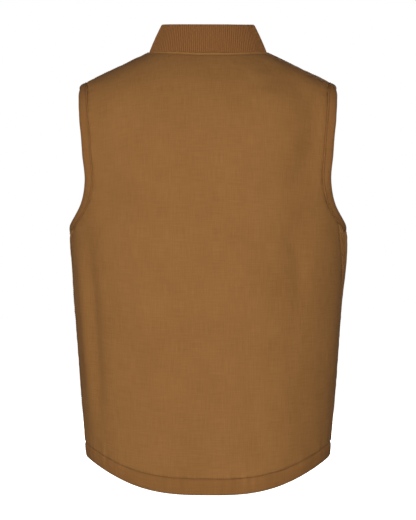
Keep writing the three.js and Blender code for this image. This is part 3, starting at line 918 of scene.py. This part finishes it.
def welt_place(side, shares, distance):
    """Places along the slanted welt, at a distance across it, with their outward directions."""
    turn = WELT_TOP[0] + (WELT_FOOT[0] - WELT_TOP[0]) * shares + WELT_ACROSS * distance / WELT_RADIUS
    level = WELT_TOP[1] + (WELT_FOOT[1] - WELT_TOP[1]) * shares - WELT_UP * distance / SIDE_LENGTH
    column = -math.pi / 2 + turn if side > 0 else 1.5 * math.pi - turn
    return cloth_point(column, level), outward(column, level)


def pocket_welt(side):
    """A doubled welt, scuffed paler along its open edge, with painted shade along the edge that is sewn
    down.
    """
    shares = np.linspace(0, 1, WELT_PLACES)

    def place(stations, distance):
        point, normal = welt_place(side, stations, distance)
        ripple = 0.0003 * soft_noise(WELT_SEED + side, stations / 0.06, distance / 0.02)
        return point, normal, ripple

    def wear_and_shade(distance, lift):
        open_edge = (lift < 0.001) * (distance < WELT_WIDTH / 2)
        sewn_edge = distance > 0.0195
        # Painted shade along the sewn edge; the open edge paler where it is scuffed.
        return PLAIN_WEAR_AND_SHADE + 0.1 * open_edge - 0.1 * sewn_edge

    lengths = along_lengths(welt_place(side, shares, 0.0)[0])
    name = "pocket_welt_left" if side > 0 else "pocket_welt_right"
    return strip_mesh(name, place, WELT_PROFILE, shares, lengths, wear_and_shade)


def welt_stitches():
    rows = []
    shares = np.linspace(0.012, 0.988, WELT_PLACES)
    for side in (1, -1):
        for distance in WELT_STITCH_LINES:
            point, normal = welt_place(side, shares, distance)
            rows.append((point + WELT_STITCH_LIFT * normal, normal))
    return stitch_row("pocket_stitches", rows)


# Stitches

def stitch_row(name, rows):
    """Rows of topstitching, each a line of places with outward directions."""
    mesh = bmesh.new()
    for points, normals in rows:
        place, normal, tangent = even_places(points, normals, STITCH_PITCH)
        for k in range(len(place)):
            across = np.cross(normal[k], tangent[k])
            sizes = (STITCH_LENGTH / 2, STITCH_WIDTH / 2, STITCH_WIDTH / 2)
            matrix = stand(place[k], tangent[k], across, normal[k], sizes)
            bmesh.ops.create_icosphere(mesh, subdivisions=1, radius=1, matrix=matrix)
    for face in mesh.faces:
        face.smooth = True
    return to_object(mesh, name)


def column_line(cloth, first, distance, above=-1, below=9):
    """A line down the cloth between two levels, at a distance from its first or last column."""
    edge = cloth.across if first else cloth.from_last()
    rows = np.arange(edge.shape[1])
    columns = np.abs(edge - distance).argmin(axis=0)
    level = cloth.level[columns, rows]
    kept = (level > above) & (level < below)
    return stitch_places(cloth, columns[kept], rows[kept])


def row_line(cloth, distance, from_top):
    """A line across the cloth at a distance from its top or bottom edge."""
    edge = cloth.down if from_top else cloth.from_bottom()
    return stitch_places(cloth, np.arange(edge.shape[0]), np.abs(edge - distance).argmin(axis=1))


def stitch_places(cloth, columns, rows):
    normals = cloth.normal[columns, rows]
    return cloth.lifted()[columns, rows] + STITCH_LIFT * normals, normals


# Materials

# Sockets of the Mix node that hold colours
MIX_FIRST = 6
MIX_SECOND = 7
MIX_RESULT = 2

# A wave texture's period is this over its scale
WAVE_PERIOD = 0.314
LOOP_PITCH = 0.0016


def colour(code):
    """A linear colour from an sRGB hex value."""
    channels = [int(code[i : i + 2], 16) / 255 for i in (1, 3, 5)]
    return [c / 12.92 if c <= 0.04045 else ((c + 0.055) / 1.055) ** 2.4 for c in channels] + [1.0]


def new_material(name):
    material = bpy.data.materials.new(name)
    material.use_nodes = True
    return material, material.node_tree.nodes["Principled BSDF"]


def add_node(material, kind, inputs, **settings):
    """Adds a node with its settings. Inputs hold a value or another node's output for each socket."""
    node = material.node_tree.nodes.new(kind)
    for key, value in settings.items():
        setattr(node, key, value)
    connect(material, node, inputs)
    return node


def connect(material, node, inputs):
    for socket, value in inputs.items():
        if isinstance(value, bpy.types.NodeSocket):
            material.node_tree.links.new(value, node.inputs[socket])
        else:
            node.inputs[socket].default_value = value


def between(material, value, low, high, deep, light):
    """The colour from deep to light, as a value goes from low to high."""
    share = add_node(material, "ShaderNodeMapRange", {"Value": value, "From Min": low, "From Max": high})
    blend = add_node(material, "ShaderNodeMix", {"Factor": share.outputs["Result"]}, data_type="RGBA")
    connect(material, blend, {MIX_FIRST: colour(deep), MIX_SECOND: colour(light)})
    return blend.outputs[MIX_RESULT]


def shaded_by_wear_and_painted_shade(material, base, darkest, palest):
    """The base colour times a grey that goes from darkest to palest: scuffed places paler, painted shade
    darker.
    """
    wear_and_shade = add_node(material, "ShaderNodeAttribute", {}, attribute_name="wear_and_shade").outputs["Fac"]
    shade = add_node(material, "ShaderNodeMapRange", {"Value": wear_and_shade, "To Min": darkest, "To Max": palest})
    level = shade.outputs["Result"]
    grey = add_node(material, "ShaderNodeCombineColor", {"Red": level, "Green": level, "Blue": level})
    blend = add_node(material, "ShaderNodeMix", {"Factor": 1.0}, data_type="RGBA", blend_type="MULTIPLY")
    connect(material, blend, {MIX_FIRST: base, MIX_SECOND: grey.outputs["Color"]})
    return blend.outputs[MIX_RESULT]


def woven_canvas(name, deep, light, thread_pitch, roughness):
    """Cotton duck, plain-woven from thick uneven yarns and washed once: matt, with hardly any fuzz left,
    slub streaks both ways, drawn twice as wide as real ones so that they show, paler scuffed seam ridges,
    and painted shade and highlight over ditches, hollows and puckers."""
    material, shader = new_material(name)
    uv = add_node(material, "ShaderNodeUVMap", {}, uv_map="cloth").outputs["UV"]

    def streaks(width, length, seed):
        size = {"Vector": uv, "Scale": (1 / width, 1 / length, 1), "Location": (seed, seed, 0)}
        place = add_node(material, "ShaderNodeMapping", size).outputs["Vector"]
        pattern = {"Vector": place, "Scale": 1.0, "Detail": 2.0}
        return add_node(material, "ShaderNodeTexNoise", pattern).outputs["Fac"]

    def threads(direction):
        pattern = {"Vector": uv, "Scale": WAVE_PERIOD / thread_pitch}
        return add_node(material, "ShaderNodeTexWave", pattern, bands_direction=direction).outputs["Fac"]

    def combine(operation, *values):
        inputs = dict(enumerate(values))
        return add_node(material, "ShaderNodeMath", inputs, operation=operation).outputs["Value"]

    yarns = combine("ADD", streaks(0.0016, 0.030, 3.0), streaks(0.030, 0.0016, 9.0))
    mottled = combine("MULTIPLY_ADD", streaks(0.060, 0.075, 17.0), 0.6, yarns)
    cloth = between(material, mottled, 0.9, 1.7, deep, light)
    worn_and_shaded = shaded_by_wear_and_painted_shade(material, cloth, 0.35, 1.65)
    height = combine("ADD", combine("MULTIPLY", threads("X"), threads("Y")), yarns)
    bump = add_node(material, "ShaderNodeBump", {"Height": height, "Strength": 0.4, "Distance": 0.0003})
    connect(material, shader, {
        "Base Color": worn_and_shaded,
        "Normal": bump.outputs[0],
        "Roughness": roughness,
        "IOR": 1.53,
        "Specular IOR Level": 0.05,
        "Sheen Weight": 0.02,
        "Sheen Roughness": 0.5,
    })
    return material


def rib_knit(name, deep, light):
    """Acrylic rib knit, worked in fine loops: matt and fuzzy, with painted shade between the ribs."""
    material, shader = new_material(name)
    uv = add_node(material, "ShaderNodeUVMap", {}, uv_map="cloth").outputs["UV"]
    rows = {"Vector": uv, "Scale": WAVE_PERIOD / LOOP_PITCH, "Distortion": 1.5}
    loops = add_node(material, "ShaderNodeTexWave", rows, bands_direction="Y").outputs["Fac"]
    hairs = {"Vector": uv, "Scale": 900.0, "Detail": 3.0}
    fuzz = add_node(material, "ShaderNodeTexNoise", hairs).outputs["Fac"]
    yarn = between(material, fuzz, 0.3, 0.7, deep, light)
    shaded = shaded_by_wear_and_painted_shade(material, yarn, 0.2, 1.8)
    height = add_node(material, "ShaderNodeMath", {0: loops, 1: fuzz}, operation="ADD").outputs["Value"]
    bump = add_node(material, "ShaderNodeBump", {"Height": height, "Strength": 0.5, "Distance": 0.0004})
    connect(material, shader, {
        "Base Color": shaded,
        "Normal": bump.outputs[0],
        "Roughness": 0.95,
        "IOR": 1.5,
        "Specular IOR Level": 0.1,
        "Sheen Weight": 0.05,
        "Sheen Roughness": 0.6,
    })
    return material


def plain_finish(name, deep, light, grain, metallic, roughness, bump_depth):
    """A finish that varies only finely: grain is the size of its variation."""
    material, shader = new_material(name)
    place = add_node(material, "ShaderNodeTexCoord", {}).outputs["Object"]
    pattern = {"Vector": place, "Scale": 1 / grain, "Detail": 3.0}
    speck = add_node(material, "ShaderNodeTexNoise", pattern).outputs["Fac"]
    mottled = between(material, speck, 0.3, 0.7, deep, light)
    bump = add_node(material, "ShaderNodeBump", {"Height": speck, "Strength": 0.4, "Distance": bump_depth})
    connect(material, shader, {
        "Base Color": mottled,
        "Normal": bump.outputs[0],
        "Roughness": roughness,
        "Metallic": metallic,
    })
    return material


# The vest

duck = woven_canvas("brown_cotton_duck", "#875d32", "#95693c", 0.0012, 0.9)
duck_band = woven_canvas("doubled_cotton_duck", "#7f562e", "#8c6137", 0.0012, 0.9)
lining = woven_canvas("brushed_cotton_lining", "#6a4829", "#785433", 0.0009, 0.95)
knit = rib_knit("acrylic_rib_knit", "#7a4f28", "#8f6035")
# The thread is drawn darker than the cloth, painted shade for the shadows of its needle holes.
thread = plain_finish("waxed_cotton_thread", "#6e4b28", "#825a32", 0.0006, 0.0, 0.7, 0.0001)
tape_weave = plain_finish("woven_zip_tape", "#5b3f24", "#6b4a2c", 0.0009, 0.0, 0.85, 0.0002)
brass = plain_finish("antique_brass", "#8f6f3c", "#b8934f", 0.002, 1.0, 0.38, 0.00005)

back, back_grid = back_cloth()
front_left, front_left_grid = front_cloth(1)
front_right, front_right_grid = front_cloth(-1)
collar = collar_knit()
binding_left = armhole_binding(1)
binding_right = armhole_binding(-1)
hem_back = hem_strip("hem_strip_back", 0, math.pi)
hem_left = hem_strip("hem_strip_front_left", -math.pi / 2 + ZIP_GAP_TURN, 0)
hem_right = hem_strip("hem_strip_front_right", math.pi, 1.5 * math.pi - ZIP_GAP_TURN)

for piece in (back, front_left, front_right):
    dress(piece, "duck_canvas", duck, lining)
for piece in (binding_left, binding_right, hem_back, hem_left, hem_right):
    dress(piece, "duck_band", duck_band)
dress(collar, "rib_knit", knit)

welt_left = dress(pocket_welt(1), "duck_band", duck_band)
welt_right = dress(pocket_welt(-1), "duck_band", duck_band)
pocket_stitches = dress(welt_stitches(), "duck_band", thread)

tape = dress(zip_tape(), "zip_brass", tape_weave)
teeth = dress(zip_teeth(), "zip_brass", brass)
slider = dress(zip_slider(), "zip_brass", brass)
pull = dress(zip_pull(), "zip_brass", brass)

neck_row = row_line(back_grid, NECK_STITCH_LINE, True)
neck_stitches = dress(stitch_row("neck_stitches", [neck_row]), "duck_canvas", thread)

hem_row = row_line(back_grid, HEM_STITCH_LINE, False)
hem_stitches = dress(stitch_row("hem_stitches", [hem_row]), "duck_canvas", thread)

arm_rows = []
for side in (1, -1):
    turns = np.linspace(0, 2 * math.pi, BINDING_TURNS + 1)
    points, normals, _ = armhole_ring(side, turns, np.full(turns.shape, BINDING_STITCH_LINE))
    arm_rows.append((points + BINDING_STITCH_LIFT * normals, normals))
arm_stitches = dress(stitch_row("armhole_stitches", arm_rows), "duck_band", thread)

side_rows = []
for first in (True, False):
    for distance in SIDE_STITCH_LINES:
        side_rows.append(column_line(back_grid, first, distance, above=SIDE_STITCH_START))
        side_rows.append(column_line(back_grid, first, distance, below=SHOULDER_STITCH_END))
side_stitches = dress(stitch_row("side_stitches", side_rows), "duck_canvas", thread)

front_rows = [row_line(grid, HEM_STITCH_LINE, False) for grid in (front_left_grid, front_right_grid)]
front_rows += [row_line(grid, NECK_STITCH_LINE, True) for grid in (front_left_grid, front_right_grid)]
for grid, first in ((front_left_grid, True), (front_right_grid, False)):
    for distance in SIDE_STITCH_LINES:
        front_rows.append(column_line(grid, first, distance))
front_stitches = dress(stitch_row("front_stitches", front_rows), "duck_canvas", thread)

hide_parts("back_panel")
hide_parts("front_panel_left")
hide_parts("front_panel_right")
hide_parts("rib_collar")
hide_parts("armhole_band_left")
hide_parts("armhole_band_right")
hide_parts("back_hem_band")
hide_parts("front_hem_band_left")
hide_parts("front_hem_band_right")
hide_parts("front_zip")

# Studio

CAMERA_DISTANCE = 4.0
SENSOR_HEIGHT = 36
PIXEL_SIZE = 0.00163
FRAME_HEIGHT = 520 * PIXEL_SIZE
VIEW_HEIGHT = -0.3374
SKY_LIGHT = 0.1
FLOOR_HEIGHT = -0.80
FLOOR_GLOW = 0.97

# Lamps, all turned to the vest's middle: name, place, width, power
LAMP_TARGET = (0, 0, -0.35)
LAMPS = (
    ("key", (0, 3.4, 0.0), 0.9, 70),
    ("left_light", (2.5, 2.3, -0.35), 0.9, 37),
    ("right_light", (-2.5, 2.3, -0.35), 0.9, 21),
    ("front_fill", (-0.7, -3.2, 0.3), 1.2, 85),
)


def add_camera():
    data = bpy.data.cameras.new("camera")
    data.sensor_fit = "VERTICAL"
    data.sensor_height = SENSOR_HEIGHT
    data.lens = SENSOR_HEIGHT * CAMERA_DISTANCE / FRAME_HEIGHT
    camera = bpy.data.objects.new("camera", data)
    camera.location = (0, CAMERA_DISTANCE, VIEW_HEIGHT)
    camera.rotation_euler = (math.pi / 2, 0, math.pi)
    bpy.context.scene.collection.objects.link(camera)
    bpy.context.scene.camera = camera


def add_softbox(name, place, size, power):
    data = bpy.data.lights.new(name, "AREA")
    data.shape = "DISK"
    data.size = size
    data.energy = power
    light = bpy.data.objects.new(name, data)
    light.location = place
    way = Vector(LAMP_TARGET) - Vector(place)
    light.rotation_euler = way.to_track_quat("-Z", "Y").to_euler()
    bpy.context.scene.collection.objects.link(light)


def add_floor():
    """A white paper floor, lit from itself, that throws no light back on the vest."""
    mesh = bmesh.new()
    place = Matrix.Translation((0, 0, FLOOR_HEIGHT))
    bmesh.ops.create_grid(mesh, x_segments=1, y_segments=1, size=15, matrix=place)
    floor = to_object(mesh, "studio_floor")
    paper = plain_finish("matt_white_paper", "#f4f3f1", "#fbfaf8", 0.02, 0.0, 0.9, 0.0)
    glow = {"Emission Color": (1, 1, 1, 1), "Emission Strength": FLOOR_GLOW}
    connect(paper, paper.node_tree.nodes["Principled BSDF"], glow)
    floor.data.materials.append(paper)
    floor.visible_diffuse = False
    floor.visible_glossy = False


def add_sky():
    """Dim even light, with a white ground behind the vest."""
    world = bpy.data.worlds.new("studio")
    world.use_nodes = True
    background = world.node_tree.nodes["Background"]
    background.inputs["Color"].default_value = (1, 1, 1, 1)
    seen = add_node(world, "ShaderNodeLightPath", {}).outputs["Is Camera Ray"]
    level = add_node(world, "ShaderNodeMapRange", {"Value": seen, "To Min": SKY_LIGHT, "To Max": 1.0})
    connect(world, background, {"Strength": level.outputs["Result"]})
    bpy.context.scene.world = world


add_camera()
add_floor()
add_sky()
for lamp in LAMPS:
    add_softbox(*lamp)
bpy.context.scene.view_settings.view_transform = "Standard"
